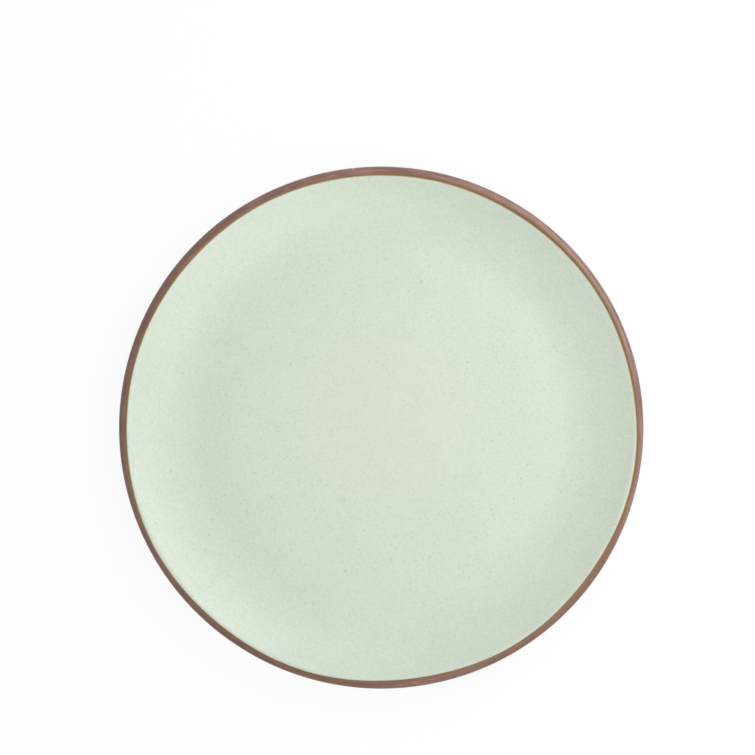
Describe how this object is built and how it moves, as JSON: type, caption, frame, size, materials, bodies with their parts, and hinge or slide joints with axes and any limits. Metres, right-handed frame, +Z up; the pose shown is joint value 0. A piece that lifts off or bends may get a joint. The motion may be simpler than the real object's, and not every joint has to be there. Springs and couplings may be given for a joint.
{
  "type": "dinner plate",
  "caption": "Round coupe dinner plate in stoneware: flat floor, upswept wall, bare rounded lip and foot ring, under a pale green satin glaze.",
  "frame": {"origin": "on the plate's axis, in the plane that the foot ring stands on", "axes": "+Z up along the plate's axis, out of the eating side; X and Y in the table's plane"},
  "size_m": [0.273, 0.273, 0.0205],
  "materials": {
    "bare_clay": "unglazed brown stoneware, sponged smooth, fine grog, matte",
    "front_glaze": "pale sage green satin glaze, faint cream and tan speckle",
    "back_glaze": "the same pale sage green satin glaze",
    "foot_well_glaze": "the same pale sage green satin glaze"
  },
  "bodies": {
    "root": {"clay_body": "bare_clay", "front_glaze": "front_glaze", "back_glaze": "back_glaze", "foot_well_glaze": "foot_well_glaze"}
  },
  "joints": []
}
